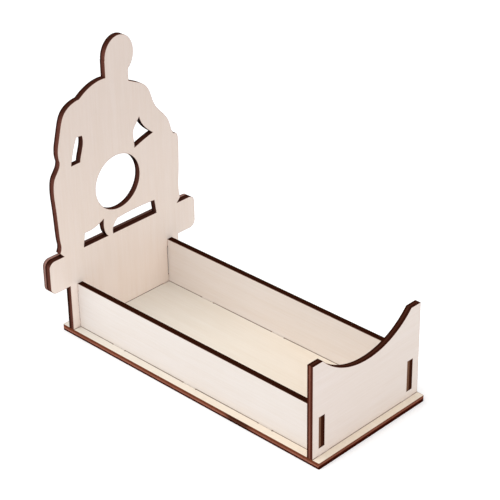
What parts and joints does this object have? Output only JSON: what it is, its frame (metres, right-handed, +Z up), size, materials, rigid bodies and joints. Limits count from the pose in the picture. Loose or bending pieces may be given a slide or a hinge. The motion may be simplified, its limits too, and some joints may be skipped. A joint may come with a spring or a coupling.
{
  "type": "wooden wine bottle holder",
  "caption": "Plywood tray with an end panel that has a round rest and a tall end panel cut as a seated figure with a round neck hole, holding one wine bottle on its side.",
  "frame": {"origin": "middle of the underside of the base plate, on the surface the holder stands on", "axes": "+X along the tray from the figure panel to the cradle panel, +Y across it towards the far wall, +Z up"},
  "size_m": [0.2146, 0.1218, 0.1855],
  "materials": {
    "plywood": "bare pale plywood with laser-burnt edges"
  },
  "bodies": {
    "root": {"base_plate": "plywood", "near_wall": "plywood", "far_wall": "plywood", "cradle_panel": "plywood", "figure_panel": "plywood", "bench_strip": "plywood"}
  },
  "joints": []
}
